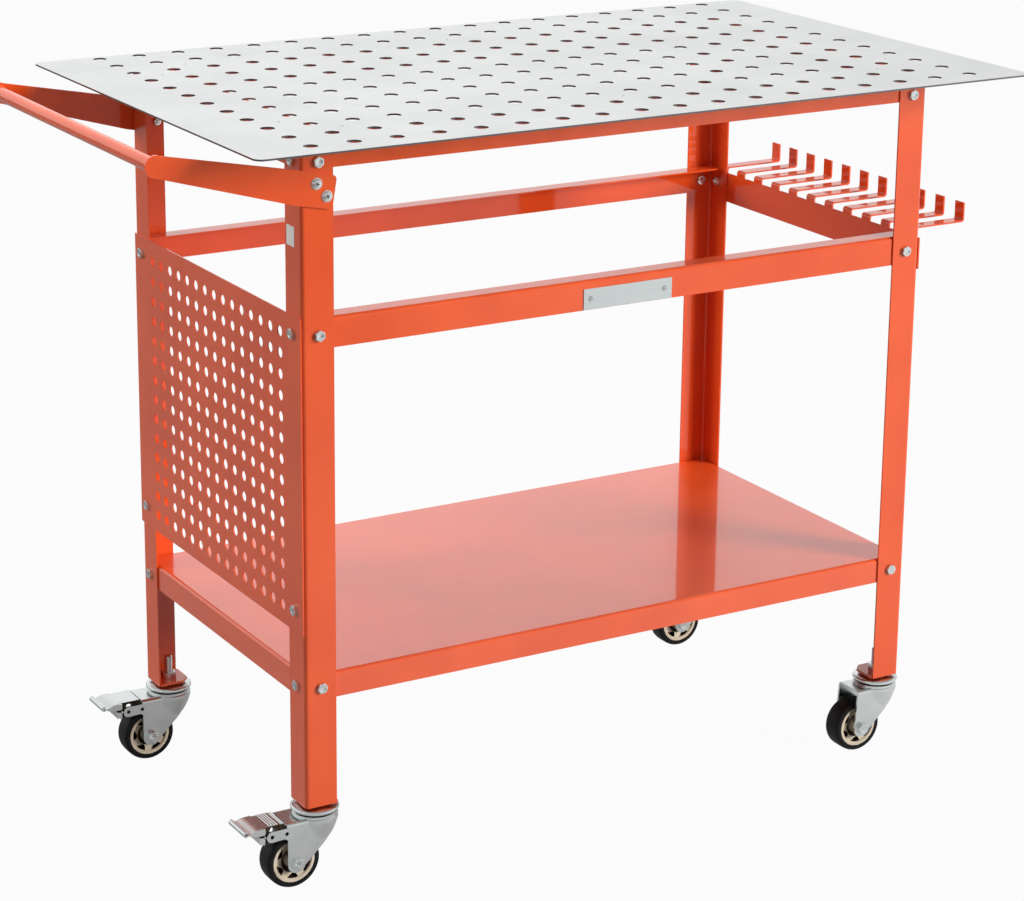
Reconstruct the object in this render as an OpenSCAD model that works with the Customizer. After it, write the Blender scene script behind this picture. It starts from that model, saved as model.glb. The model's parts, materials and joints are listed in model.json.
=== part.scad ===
// Mobile welding table: perforated fixture top on an angle-steel frame with a lower shelf,
// a pegboard side, a push handle, a hook rack and four swivel casters.
// Millimetres. The frame's centre is half way between the legs, +Z up, -Y is the front,
// the handle and the pegboard are at -X and the hook rack is at +X.

/* [Work surface] */
// Height of the work surface above the floor
table_height = 856; // [840:1:880]
// Distance between the fixture holes, both ways
hole_pitch = 50; // [49:0.5:51]
// Diameter of a fixture hole
hole_d = 16; // [12:0.5:18]
// Thickness of the top plate
plate_t = 2; // [1.5:0.25:3]
// Radius of the top plate's corners
plate_corner_r = 10; // [6:1:16]
// Solid edge beyond the last hole centre at the handle end
margin_left = 78; // [70:1:86]
// Solid edge beyond the last hole centre at the rack end
margin_right = 64; // [56:1:72]
// Solid edge beyond the last hole centre at the front
margin_front = 36; // [28:1:44]
// Solid edge beyond the last hole centre at the back
margin_back = 14; // [12:1:20]
// Countersunk head diameter of the screws that hold the plate
plate_screw_head_d = 8; // [7:0.5:9]

/* [Frame] */
// Width of each flange of a leg
leg_w = 38; // [36:1:42]
// Sheet thickness of legs, rails and shelf
sheet_t = 2; // [1.5:0.1:2.4]
// Outside radius of the bends of legs, shelf and middle rails
bend_r = 4.5; // [3.5:0.25:5.5]
// Outside radius of the bend of the top rails
top_bend_r = 3; // [2.6:0.1:3.4]
// Height of a top rail
top_rail_h = 37; // [34:1:42]
// Depth of a top rail's flange under the plate
top_rail_w = 34; // [30:1:38]
// Height of a middle rail
mid_rail_h = 34; // [30:1:38]
// Depth of a middle rail's flange
mid_rail_w = 25; // [20:1:30]
// Underside of the middle rails above the floor
mid_rail_z = 621; // [600:1:640]
// Top of the shelf above the floor
shelf_z = 251; // [230:1:275]
// Depth of the shelf's turned-down lip
shelf_lip = 30; // [26:1:36]
// Distance of the bolts from the outside corner of a leg
bolt_inset = 20; // [19:0.5:22]
// Diameter of the frame bolts
bolt_d = 6.35; // [5.35:0.5:6.35]
// Radial clearance of bolts in their holes
bolt_clear = 0.2; // [0.1:0.05:0.4]

/* [Pegboard] */
// Distance between the pegboard holes
peg_pitch = 24; // [23:0.25:24.5]
// Diameter of a pegboard hole
peg_hole_d = 12; // [8:0.5:14]
// Sheet thickness of the pegboard
peg_t = 1.5; // [1:0.25:2]
// Top edge of the pegboard above the floor
peg_top = 657; // [650:1:670]

/* [Hook rack] */
// How far the hooks stand out from the legs
rack_reach = 84; // [70:1:95]
// Height of the upturned tips above the hooks
rack_tip = 22; // [15:1:30]
// Width of a hook
rack_finger_w = 16; // [12:1:20]
// Distance between hooks
rack_pitch = 38; // [36:0.5:39]
// Height of the rack's back plate
rack_h = 46; // [40:1:52]

/* [Handle] */
// Distance from the legs' outside to the handle's tube
handle_reach = 164; // [150:1:180]
// Diameter of the handle's tube
handle_d = 16; // [14:0.5:18]
// Thickness of the handle's arms
arm_t = 3; // [2:0.25:3.5]

/* [Casters] */
// Diameter of a wheel
wheel_d = 65; // [62:1:70]
// Width of a tyre
tyre_w = 26; // [22:1:28]
// Outside width of a fork
fork_w = 40; // [39:0.5:44]
// Sheet thickness of a fork
fork_t = 2.5; // [2:0.1:2.8]
// Diameter of the race cap above a fork
cap_d = 55; // [48:1:58]
// Radial running clearance of swivels, wheels and brake pins
run_clear = 0.1; // [0.05:0.01:0.1]

/* [Hidden] */
$fn = 48;
holes_x = 18;
holes_y = 12;
peg_cols = 15;
peg_rows = 14;
rack_fingers = 11;
half_x = 8 * hole_pitch + 9;
half_y = 4 * hole_pitch + 19;
plate_x0 = -8.5 * hole_pitch - margin_left;
plate_x1 = 8.5 * hole_pitch + margin_right;
plate_y0 = -5.5 * hole_pitch - margin_front;
plate_y1 = 5.5 * hole_pitch + margin_back;
plate_z = table_height - plate_t;
rack_x = half_x + rack_reach;
handle_x = -half_x - handle_reach;
handle_z = table_height - 17;
arm_end_r = 12;
label_w = 18;
label_h = 22;
frame_x = -(handle_x - arm_end_r + max(rack_x, plate_x1)) / 2;
frame_y = -(plate_y0 + plate_y1) / 2;

axle_z = wheel_d / 2;
fork_z = wheel_d + 17;
collar_z = fork_z + 3;
cap_z = collar_z + 0.3;
hex_z = fork_z + 11;
leg_z = fork_z + 13;
foot_t = 3;
trail = 32;
fork_in = fork_w / 2 - fork_t;
stem_r = 5;
stem_len = 31;
stem_af = 17;
stem_nut_af = 16;
stem_nut_h = 8;
king_r = 6;
axle_r = 4;
sleeve_r = 6;
pin_r = 2.5;
hub_r = wheel_d / 2 - 6.5;

leg_top = plate_z - 1;
bolt_x = half_x - bolt_inset;
bolt_y = half_y - bolt_inset;
head_af = 11.1;
arm_screw_r = 6.5;
head_h = 4;
nut_h = 5;
hole_r = bolt_d / 2 + bolt_clear;
top_bolt_z = plate_z - top_rail_h + 8;
mid_bolt_z = mid_rail_z + 16;
shelf_bolt_z = shelf_z - shelf_lip / 2;
peg_w = 2 * half_y - 2;
peg_h = (peg_rows - 1) * peg_pitch + 46;
peg_bolt_hi = peg_top - 20;
peg_bolt_lo = peg_top - peg_h + 25;
rack_z = mid_rail_z + 37;
rack_bolt_z = mid_bolt_z;
corner_gap = 6;
screw_x = 7 * hole_pitch;
screw_y = 3 * hole_pitch;
plate_screw_r = 2;
arm_screws = [[17, -53.5], [29, -68]];

// Which piece to draw, or all of them

orange = [0.86, 0.30, 0.16];
zinc = [0.75, 0.77, 0.78];
steel = [0.62, 0.63, 0.64];
beige = [0.84, 0.74, 0.64];
black = [0.13, 0.13, 0.13];
white = [0.93, 0.93, 0.92];

// Everything is drawn about the frame's centre and moved to the middle of the whole.
module place() {
    translate([frame_x, frame_y, 0]) children();
}

module hex(af, h) {
    cylinder(r = af / 2 / cos(30), h = h, $fn = 6);
}

// An angle section with its outside corner at the origin and a bend of outside radius r.
module angle_profile(w, h, t, r) {
    translate([r, 0]) square([w - r, t]);
    translate([0, r]) square([t, h - r]);
    intersection() {
        translate([r, r]) difference() {
            circle(r);
            circle(r - t);
        }
        square([r, r]);
    }
}

// An angle along X whose outside top corner is at the front, flange to the back.
module angle_x(len, w, h, t, r) {
    translate([-len / 2, 0, 0]) rotate([90, 0, 90])
        linear_extrude(len) mirror([0, 1]) angle_profile(w, h, t, r);
}

// The same along Y, flange towards +X.
module angle_y(len, w, h, t, r) {
    translate([0, len / 2, 0]) rotate([90, 0, 0])
        linear_extrude(len) mirror([0, 1]) angle_profile(w, h, t, r);
}

// The four places on the front and back flanges of the legs; +Z of the child points inwards.
module on_front_back(z) {
    for (sx = [-1, 1]) {
        translate([sx * bolt_x, -half_y, z]) rotate([-90, 0, 0]) children();
        translate([sx * bolt_x, half_y, z]) rotate([90, 0, 0]) children();
    }
}

// Two places on the side flanges of the left or right legs, out from them by d.
module on_left(z, d = 0) {
    for (sy = [-1, 1])
        translate([-half_x - d, sy * bolt_y, z]) rotate([0, 90, 0]) children();
}

module on_right(z, d = 0) {
    for (sy = [-1, 1])
        translate([half_x + d, sy * bolt_y, z]) rotate([0, -90, 0]) children();
}

// A hex bolt through `grip` of sheet, and the nut that goes on it.
module bolt(grip) {
    translate([0, 0, -head_h]) hex(head_af, head_h);
    cylinder(d = bolt_d, h = grip + nut_h + 2);
}

module nut(grip) {
    translate([0, 0, grip]) difference() {
        hex(head_af, nut_h);
        translate([0, 0, -1]) cylinder(r = bolt_d / 2 + 0.1, h = nut_h + 2);
    }
}

module bolt_hole() {
    translate([0, 0, -10]) cylinder(r = hole_r, h = 30);
}

// All holes for bolts and screws in the legs.
module leg_holes() {
    on_front_back(top_bolt_z) bolt_hole();
    on_left(top_bolt_z) bolt_hole();
    on_right(top_bolt_z) bolt_hole();
    on_front_back(mid_bolt_z) bolt_hole();
    on_left(peg_bolt_hi) bolt_hole();
    on_left(peg_bolt_lo) bolt_hole();
    on_right(rack_bolt_z) bolt_hole();
    on_front_back(shelf_bolt_z) bolt_hole();
    on_left(shelf_bolt_z) bolt_hole();
    on_right(shelf_bolt_z) bolt_hole();
}

module arm_screw_places() {
    for (s = arm_screws) {
        translate([-half_x + s[0], -half_y - arm_t, table_height + s[1]])
            rotate([-90, 0, 0]) children();
        translate([-half_x + s[0], half_y + arm_t, table_height + s[1]])
            rotate([90, 0, 0]) children();
    }
}

module arm_screw_hole() {
    translate([0, 0, -10]) cylinder(r = 2.7, h = 30);
}

module leg(sx, sy) {
    difference() {
        mirror([sx > 0 ? 1 : 0, 0, 0]) mirror([0, sy > 0 ? 1 : 0, 0])
            translate([-half_x, -half_y, leg_z])
                linear_extrude(leg_top - leg_z)
                    angle_profile(leg_w, leg_w, sheet_t, bend_r);
        leg_holes();
        if (sx < 0) arm_screw_places() arm_screw_hole();
    }
}

module leg_front_left() {
    color(orange) place() leg(-1, -1);
}

module leg_front_right() {
    color(orange) place() leg(1, -1);
}

module leg_back_left() {
    color(orange) place() leg(-1, 1);
}

module leg_back_right() {
    color(orange) place() leg(1, 1);
}

module at_corner(sx, sy) {
    translate([sx * bolt_x, sy * bolt_y, 0]) children();
}

module at_corners() {
    for (sx = [-1, 1]) for (sy = [-1, 1]) at_corner(sx, sy) children();
}

// Plates welded into the feet of the legs, each with a hole for a caster's stem.
module foot_plates() {
    w = leg_w;
    color(orange) place() for (sx = [-1, 1]) for (sy = [-1, 1])
        mirror([sx > 0 ? 1 : 0, 0, 0]) mirror([0, sy > 0 ? 1 : 0, 0])
            translate([-half_x + sheet_t, -half_y + sheet_t, leg_z]) difference() {
                linear_extrude(foot_t)
                    polygon([[4, 0], [w, 0], [w, w - 9], [w - 9, w], [0, w], [0, 4]]);
                translate([bolt_inset - sheet_t, bolt_inset - sheet_t, -1])
                    cylinder(r = stem_r + 0.2, h = foot_t + 2);
            }
}

// Places of the screws that hold the plate to the rails, on the midpoints of the hole grid.
module plate_screw_places() {
    for (x = [-screw_x, 0, screw_x]) for (sy = [-1, 1])
        translate([x, sy * 4 * hole_pitch, 0]) children();
    for (sx = [-1, 1]) for (sy = [-1, 1])
        translate([sx * 8 * hole_pitch, sy * screw_y, 0]) children();
}

module top_plate() {
    w = plate_x1 - plate_x0;
    d = plate_y1 - plate_y0;
    r = plate_corner_r;
    color(steel) place() difference() {
        translate([0, 0, plate_z]) linear_extrude(plate_t) difference() {
            translate([plate_x0, plate_y0]) union() {
                translate([r, 0]) square([w - 2 * r, d]);
                translate([0, r]) square([w, d - 2 * r]);
                for (x = [r, w - r]) for (y = [r, d - r]) translate([x, y]) circle(r);
            }
            for (i = [0 : holes_x - 1]) for (j = [0 : holes_y - 1])
                translate([(i - 8.5) * hole_pitch, (j - 5.5) * hole_pitch]) circle(d = hole_d);
        }
        plate_screw_places() translate([0, 0, plate_z])
            cylinder(r1 = plate_screw_r + 0.2, r2 = plate_screw_head_d / 2 + 0.2, h = plate_t);
    }
}

module plate_screws() {
    color(steel) place() plate_screw_places() difference() {
        union() {
            translate([0, 0, plate_z])
                cylinder(r1 = plate_screw_r, r2 = plate_screw_head_d / 2, h = plate_t);
            translate([0, 0, plate_z - sheet_t - 5])
                cylinder(r = plate_screw_r, h = sheet_t + 5.5);
        }
        translate([0, 0, table_height - 1]) hex(2.5, 2);
    }
}

module plate_nuts() {
    color(zinc) place() plate_screw_places() difference() {
        translate([0, 0, plate_z - sheet_t - 3.2]) rotate([0, 0, 30]) hex(7, 3.2);
        translate([0, 0, plate_z - 10]) cylinder(r = plate_screw_r + 0.1, h = 10);
    }
}

module rail_screw_holes() {
    plate_screw_places() translate([0, 0, plate_z - 10])
        cylinder(r = plate_screw_r + 0.2, h = 20);
}

module top_rail_x() {
    difference() {
        translate([0, -half_y + sheet_t, plate_z])
            angle_x(2 * (half_x - corner_gap), top_rail_w, top_rail_h, sheet_t, top_bend_r);
        on_front_back(top_bolt_z) bolt_hole();
        rail_screw_holes();
    }
}

module top_rail_front() {
    color(orange) place() top_rail_x();
}

module top_rail_back() {
    color(orange) place() mirror([0, 1, 0]) top_rail_x();
}

module top_rail_y() {
    flange_y = half_y - sheet_t - top_rail_w - 1;
    difference() {
        translate([-half_x + sheet_t, 0, plate_z])
            angle_y(2 * (half_y - corner_gap), top_rail_w, top_rail_h, sheet_t, top_bend_r);
        for (s = [-1, 1]) translate([-half_x + sheet_t + top_bend_r,
            s > 0 ? flange_y : -flange_y - 100, plate_z - sheet_t - 1])
                cube([100, 100, sheet_t + 2]);
        on_left(top_bolt_z) bolt_hole();
        rail_screw_holes();
    }
}

module top_rail_left() {
    color(orange) place() top_rail_y();
}

module top_rail_right() {
    color(orange) place() mirror([1, 0, 0]) top_rail_y();
}

module mid_rail_x() {
    difference() {
        translate([0, -half_y + sheet_t, mid_rail_z + mid_rail_h])
            angle_x(2 * (half_x - corner_gap), mid_rail_w, mid_rail_h, sheet_t, bend_r);
        on_front_back(mid_bolt_z) bolt_hole();
        for (sx = [-1, 1]) translate([sx * 49, -half_y, mid_rail_z + 12.5])
            rotate([-90, 0, 0]) cylinder(r = 1.7, h = 10);
    }
}

module mid_rail_front() {
    color(orange) place() mid_rail_x();
}

module mid_rail_back() {
    color(orange) place() mirror([0, 1, 0]) difference() {
        translate([0, -half_y + sheet_t, mid_rail_z + mid_rail_h])
            angle_x(2 * (half_x - corner_gap), mid_rail_w, mid_rail_h, sheet_t, bend_r);
        on_front_back(mid_bolt_z) bolt_hole();
    }
}

// A sheet with four turned-down lips, open at its corners to clear the legs.
module shelf_tray() {
    a = half_x - sheet_t;
    b = half_y - sheet_t;
    notch = 8;
    color(orange) place() difference() {
        union() {
            translate([-a + bend_r, -b + bend_r, shelf_z - sheet_t])
                cube([2 * (a - bend_r), 2 * (b - bend_r), sheet_t]);
            for (m = [0, 1]) {
                mirror([0, m, 0]) translate([0, -b, shelf_z])
                    angle_x(2 * (a - notch), bend_r + 1, shelf_lip, sheet_t, bend_r);
                mirror([m, 0, 0]) translate([-a, 0, shelf_z])
                    angle_y(2 * (b - notch), bend_r + 1, shelf_lip, sheet_t, bend_r);
            }
        }
        for (sx = [-1, 1]) for (sy = [-1, 1])
            translate([sx * a, sy * b, shelf_z]) cube([2 * notch, 2 * notch, 10], center = true);
        on_front_back(shelf_bolt_z) bolt_hole();
        on_left(shelf_bolt_z) bolt_hole();
        on_right(shelf_bolt_z) bolt_hole();
    }
}

module pegboard() {
    color(orange) place() difference() {
        translate([-half_x - peg_t, -peg_w / 2, peg_top - peg_h]) cube([peg_t, peg_w, peg_h]);
        for (i = [0 : peg_cols - 1]) for (j = [0 : peg_rows - 1])
            translate([-half_x - peg_t - 1, (i - 7) * peg_pitch, peg_top - 24.5 - j * peg_pitch])
                rotate([0, 90, 0]) cylinder(d = peg_hole_d, h = peg_t + 2);
        on_left(peg_bolt_hi) bolt_hole();
        on_left(peg_bolt_lo) bolt_hole();
    }
}

// Section of one hook in X and Z: back plate, fold out, hook and upturned tip.
module hook_profile() {
    t = sheet_t;
    q = t + 2;
    translate([half_x, rack_z - rack_h]) square([t, rack_h - q]);
    intersection() {
        translate([half_x + q, rack_z - q]) difference() {
            circle(q);
            circle(q - t);
        }
        translate([half_x, rack_z - q]) square([q, q]);
    }
    translate([half_x + q, rack_z - t]) square([rack_reach - 2 * q, t]);
    intersection() {
        translate([rack_x - q, rack_z - t + q]) difference() {
            circle(q);
            circle(q - t);
        }
        translate([rack_x - q, rack_z - t]) square([q, q]);
    }
    translate([rack_x - t, rack_z - t + q]) square([t, rack_tip - q + t]);
}

module hook_rack() {
    color(orange) place() difference() {
        union() {
            translate([half_x, -peg_w / 2, rack_z - rack_h])
                cube([sheet_t, peg_w, rack_h - 8]);
            for (i = [0 : rack_fingers - 1])
                translate([0, (i - 5) * rack_pitch + rack_finger_w / 2, 0]) rotate([90, 0, 0])
                    linear_extrude(rack_finger_w) hook_profile();
        }
        on_right(rack_bolt_z) bolt_hole();
    }
}

// A handle arm flat in X and Y, about the leg's outside corner at table height.
// Its corners are drawn for an end of radius 12 and grow with that radius.
module arm_blank() {
    k = arm_end_r / 12;
    cx = -handle_reach;
    cz = handle_z - table_height;
    translate([cx, cz, 0]) cylinder(r = arm_end_r, h = arm_t);
    linear_extrude(arm_t) polygon([[cx + 2.3 * k, cz + 11.3 * k], [-10 * k, -36 * k],
        [37 * k, -46.2 * k], [39.6 * k, -47.9 * k], [40.6 * k, -50.8 * k], [36.2 * k, -78 * k],
        [34.6 * k, -81.2 * k], [31.5 * k, -82.2 * k], [-7.6 * k, -74.5 * k],
        [cx - 3.2 * k, cz - 11.1 * k]]);
}

module handle_arm(sy) {
    difference() {
        translate([-half_x, sy < 0 ? -half_y : half_y + arm_t, table_height])
            rotate([90, 0, 0]) arm_blank();
        arm_screw_places() arm_screw_hole();
    }
}

module handle_arm_front() {
    color(orange) place() handle_arm(-1);
}

module handle_arm_back() {
    color(orange) place() handle_arm(1);
}

module handle_tube() {
    color(orange) place() translate([handle_x, half_y, handle_z]) rotate([90, 0, 0])
        difference() {
            cylinder(d = handle_d, h = 2 * half_y);
            translate([0, 0, 5]) cylinder(d = handle_d - 3, h = 2 * half_y - 10);
        }
}

module handle_screws() {
    color(zinc) place() arm_screw_places() difference() {
        union() {
            translate([0, 0, -2.6]) cylinder(r1 = 4, r2 = arm_screw_r, h = 2);
            translate([0, 0, -0.6]) cylinder(r = arm_screw_r, h = 0.6);
            cylinder(r = 2.5, h = arm_t + sheet_t + 5.5);
        }
        for (q = [0, 90]) rotate([0, 0, q])
            translate([-2.5, -0.5, -3.6]) cube([5, 1, 2.2]);
    }
}

module handle_nuts() {
    color(zinc) place() arm_screw_places() translate([0, 0, arm_t + sheet_t]) difference() {
        hex(8, 4);
        translate([0, 0, -1]) cylinder(r = 2.6, h = 6);
    }
}

module name_plate() {
    color(white) place() difference() {
        translate([-58.5, -half_y + sheet_t - 1, mid_rail_z + 0.5]) cube([117, 1, 24]);
        for (sx = [-1, 1]) translate([sx * 49, -half_y, mid_rail_z + 12.5])
            rotate([-90, 0, 0]) cylinder(r = 1.7, h = 10);
    }
}

module name_plate_rivets() {
    color(zinc) place() for (sx = [-1, 1])
        translate([sx * 49, -half_y + sheet_t - 1, mid_rail_z + 12.5]) rotate([-90, 0, 0]) {
            cylinder(r = 1.6, h = sheet_t + 3);
            translate([0, 0, -0.8]) cylinder(r = 3.2, h = 0.8);
            translate([0, 0, -1.6]) cylinder(r1 = 1.8, r2 = 3.2, h = 0.8);
            translate([0, 0, sheet_t + 1]) cylinder(r = 2.6, h = 1.2);
        }
}

module leg_label() {
    color(white) place()
        translate([-half_x - 0.4, -half_y + leg_w - bend_r - label_w + 0.5,
            (peg_top + top_bolt_z - label_h) / 2 + 2]) cube([0.4, label_w, label_h]);
}

module top_rail_bolts() {
    color(zinc) place() {
        on_front_back(top_bolt_z) bolt(2 * sheet_t);
        on_left(top_bolt_z) bolt(2 * sheet_t);
        on_right(top_bolt_z) bolt(2 * sheet_t);
    }
}

module top_rail_nuts() {
    color(zinc) place() {
        on_front_back(top_bolt_z) nut(2 * sheet_t);
        on_left(top_bolt_z) nut(2 * sheet_t);
        on_right(top_bolt_z) nut(2 * sheet_t);
    }
}

module mid_rail_bolts() {
    color(zinc) place() on_front_back(mid_bolt_z) bolt(2 * sheet_t);
}

module mid_rail_nuts() {
    color(zinc) place() on_front_back(mid_bolt_z) nut(2 * sheet_t);
}

module shelf_bolts() {
    color(zinc) place() {
        on_front_back(shelf_bolt_z) bolt(2 * sheet_t);
        on_left(shelf_bolt_z) bolt(2 * sheet_t);
        on_right(shelf_bolt_z) bolt(2 * sheet_t);
    }
}

module shelf_nuts() {
    color(zinc) place() {
        on_front_back(shelf_bolt_z) nut(2 * sheet_t);
        on_left(shelf_bolt_z) nut(2 * sheet_t);
        on_right(shelf_bolt_z) nut(2 * sheet_t);
    }
}

// Bolts of the pegboard on the left legs and of the hook rack on the right legs.
module side_bolts() {
    color(zinc) place() {
        on_left(peg_bolt_hi, peg_t) bolt(sheet_t + peg_t);
        on_left(peg_bolt_lo, peg_t) bolt(sheet_t + peg_t);
        on_right(rack_bolt_z, sheet_t) bolt(2 * sheet_t);
    }
}

module side_nuts() {
    color(zinc) place() {
        on_left(peg_bolt_hi, peg_t) nut(sheet_t + peg_t);
        on_left(peg_bolt_lo, peg_t) nut(sheet_t + peg_t);
        on_right(rack_bolt_z, sheet_t) nut(2 * sheet_t);
    }
}

// Kingpin with a head under the fork, a hex shoulder and a threaded end through the foot.
module caster_stems() {
    color(zinc) place() at_corners() {
        translate([0, 0, fork_z - fork_t - 3.6]) cylinder(r = 10, h = 3.3);
        translate([0, 0, fork_z - fork_t - 1]) cylinder(r = king_r, h = hex_z - fork_z + fork_t + 1);
        translate([0, 0, hex_z]) hex(stem_af, leg_z - hex_z);
        translate([0, 0, hex_z]) cylinder(r = stem_r, h = leg_z - hex_z + stem_len);
    }
}

module race_caps() {
    color(zinc) place() at_corners() difference() {
        union() {
            translate([0, 0, cap_z]) cylinder(d = cap_d, h = 4.7);
            translate([0, 0, cap_z + 4.7])
                cylinder(r1 = cap_d / 2, r2 = cap_d / 2 - 3, h = hex_z - cap_z - 4.7);
        }
        translate([0, 0, fork_z]) cylinder(r = king_r + run_clear, h = leg_z - fork_z);
    }
}

module stem_nuts() {
    color(zinc) place() at_corners() translate([0, 0, leg_z + foot_t]) difference() {
        hex(stem_nut_af, stem_nut_h);
        translate([0, 0, -1]) cylinder(r = stem_r + run_clear, h = stem_nut_h + 2);
    }
}

// Places on a caster, about its swivel axis: the pedal's pin, and the pin that stops it.
pedal_pin = [-44, fork_z - 11];
stop_pin = [-62, fork_z - 11];
tread_w = 2 * (fork_in - 0.3);
front_r = 26.5;

module across(p, r, w) {
    translate([p[0], w / 2, p[1]]) rotate([90, 0, 0]) cylinder(r = r, h = w);
}

module side_profile(braked) {
    polygon([[braked ? -44 : -39, fork_z], [28, fork_z], [28, fork_z - 5], [13, fork_z - 20.5],
        [-21.5, axle_z - 3.5], [-43, axle_z - 1], [-43, braked ? fork_z - 14 : axle_z + 3]]);
    translate([-trail, axle_z]) circle(11);
    if (braked) {
        translate(stop_pin) circle(6.5);
        polygon([[-40, fork_z - 4.5], [-61, fork_z - 4.6], [-61, fork_z - 17.4],
            [-46.5, fork_z - 16.6], [-43, fork_z - 19], [-40, fork_z - 19]]);
    }
}

// The U section of a fork, open downwards.
module fork_section() {
    w = fork_w / 2;
    r = fork_t + 1.5;
    difference() {
        union() {
            translate([-w + r, fork_z - fork_t]) square([2 * (w - r), fork_t]);
            for (s = [-1, 1]) {
                translate([s * (w - r), fork_z - r]) circle(r);
                translate([s < 0 ? -w : w - fork_t, 0]) square([fork_t, fork_z - r]);
            }
        }
        for (s = [-1, 1]) translate([s * (w - r), fork_z - r]) circle(r - fork_t);
        translate([-w + r, fork_z - 2 * r]) square([2 * (w - r), 2 * r - fork_t]);
        translate([-w + fork_t, fork_z - 2 * r]) square([2 * (w - fork_t), r]);
    }
}

// The shoulder between a fork's flat sides and the cup under the race.
module fork_shoulder() {
    w = fork_w / 2;
    difference() {
        translate([0, 0, fork_z]) rotate_extrude() polygon([[0, -26], [w, -26], [front_r, -5.5],
            [front_r, -1.5], [front_r - 1.2, 0], [0, 0]]);
        translate([0, -50, 0]) cube([100, 100, 100]);
        translate([-50, -fork_in, 0]) cube([60, 2 * fork_in, fork_z - fork_t]);
    }
}

// The round front of a fork, drawn down from the cup under the race and narrowing to the sides.
module fork_front() {
    w = fork_w / 2;
    translate([0, 0, fork_z]) rotate_extrude() polygon([[0, -fork_t], [front_r - 4, -fork_t],
        [front_r - fork_t, -6], [w - fork_t, -26], [w - fork_t, -46], [w, -46], [w, -26],
        [front_r, -5.5], [front_r, -1.5], [front_r - 1.2, 0], [0, 0]]);
}

module fork(braked) {
    difference() {
        union() {
            intersection() {
                union() {
                    translate([-80, 0, 0]) rotate([90, 0, 90]) linear_extrude(80) fork_section();
                    intersection() {
                        fork_front();
                        translate([-0.5, -50, 0]) cube([60, 100, 100]);
                    }
                }
                translate([0, fork_w, 0]) rotate([90, 0, 0])
                    linear_extrude(2 * fork_w) side_profile(braked);
            }
            fork_shoulder();
            translate([0, 0, fork_z - 3]) cylinder(r = front_r - 0.8, h = 5.2);
            translate([0, 0, fork_z + 2.2]) cylinder(r1 = front_r - 0.8, r2 = front_r - 1.8, h = 0.8);
        }
        translate([0, 0, fork_z - 20]) cylinder(r = king_r + run_clear, h = 40);
        translate([0, 0, fork_z - 12]) cylinder(r = 11, h = 12 - fork_t);
        across([-trail, axle_z], axle_r + 0.15, 2 * fork_w);
        if (braked) {
            across(pedal_pin, pin_r + 0.1, 2 * fork_w);
            across(stop_pin, pin_r + 0.1, 2 * fork_w);
        }
    }
}

// Bolt with a spacer sleeve between the fork's sides, and its lock nut.
module axle(nut_front) {
    translate([-trail, 0, axle_z]) rotate([nut_front ? 90 : -90, 0, 0]) {
        translate([0, 0, -fork_w / 2 - 5.3]) hex(13, 5.3);
        translate([0, 0, -fork_w / 2]) cylinder(r = axle_r, h = fork_w + 10);
        translate([0, 0, -fork_in]) cylinder(r = sleeve_r, h = 2 * fork_in);
        translate([0, 0, fork_w / 2]) difference() {
            hex(13, 8);
            translate([0, 0, -1]) cylinder(r = axle_r + 0.1, h = 10);
        }
    }
}

module hub() {
    w = tyre_w / 2;
    translate([-trail, 0, axle_z]) rotate([90, 0, 0]) rotate_extrude()
        polygon([[sleeve_r + run_clear, -w - 2], [11, -w - 2], [12, -w + 4], [hub_r - 6, -w + 5],
            [hub_r - 4, -w + 1], [hub_r, -w + 1], [hub_r, w - 1], [hub_r - 4, w - 1],
            [hub_r - 6, w - 5], [12, w - 4], [11, w + 2], [sleeve_r + run_clear, w + 2]]);
}

module tyre() {
    w = tyre_w / 2;
    r = wheel_d / 2;
    q = 3.2;
    translate([-trail, 0, axle_z]) rotate([90, 0, 0]) rotate_extrude() {
        translate([hub_r, -w]) square([r - hub_r - q, tyre_w]);
        translate([r - q - 1, -w + q]) square([q + 1, tyre_w - 2 * q]);
        for (s = [-1, 1]) translate([r - q, s * (w - q)]) circle(q);
    }
}

module brake_pins() {
    for (p = [pedal_pin, stop_pin]) {
        across(p, pin_r, fork_w);
        for (s = [-1, 1]) translate([0, s * (fork_w / 2 + 0.6), 0]) across(p, 3.6, 1.2);
    }
}

// Side of the pedal's cheek: it turns on one pin and is slotted for the other.
module cheek_profile() {
    slot = pedal_pin[0] - stop_pin[0];
    difference() {
        union() {
            translate(pedal_pin) circle(5.5);
            polygon([[-44, fork_z - 5.6], [-46, fork_z - 1], [-60, fork_z + 0.4], [-80, fork_z + 0.4],
                [-89, fork_z - 1], [-84, fork_z - 4.8], [-78.5, fork_z - 6.6],
                [-77, fork_z - 16], [-67, fork_z - 19],
                [-62, fork_z - 17.5], [-44, fork_z - 16.4]]);
        }
        intersection() {
            translate(pedal_pin) difference() {
                circle(slot + pin_r + 0.7);
                circle(slot - pin_r - 0.7);
            }
            translate(pedal_pin) polygon([[0, 0], [-40, -9], [-40, 29.5]]);
        }
    }
}

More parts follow.
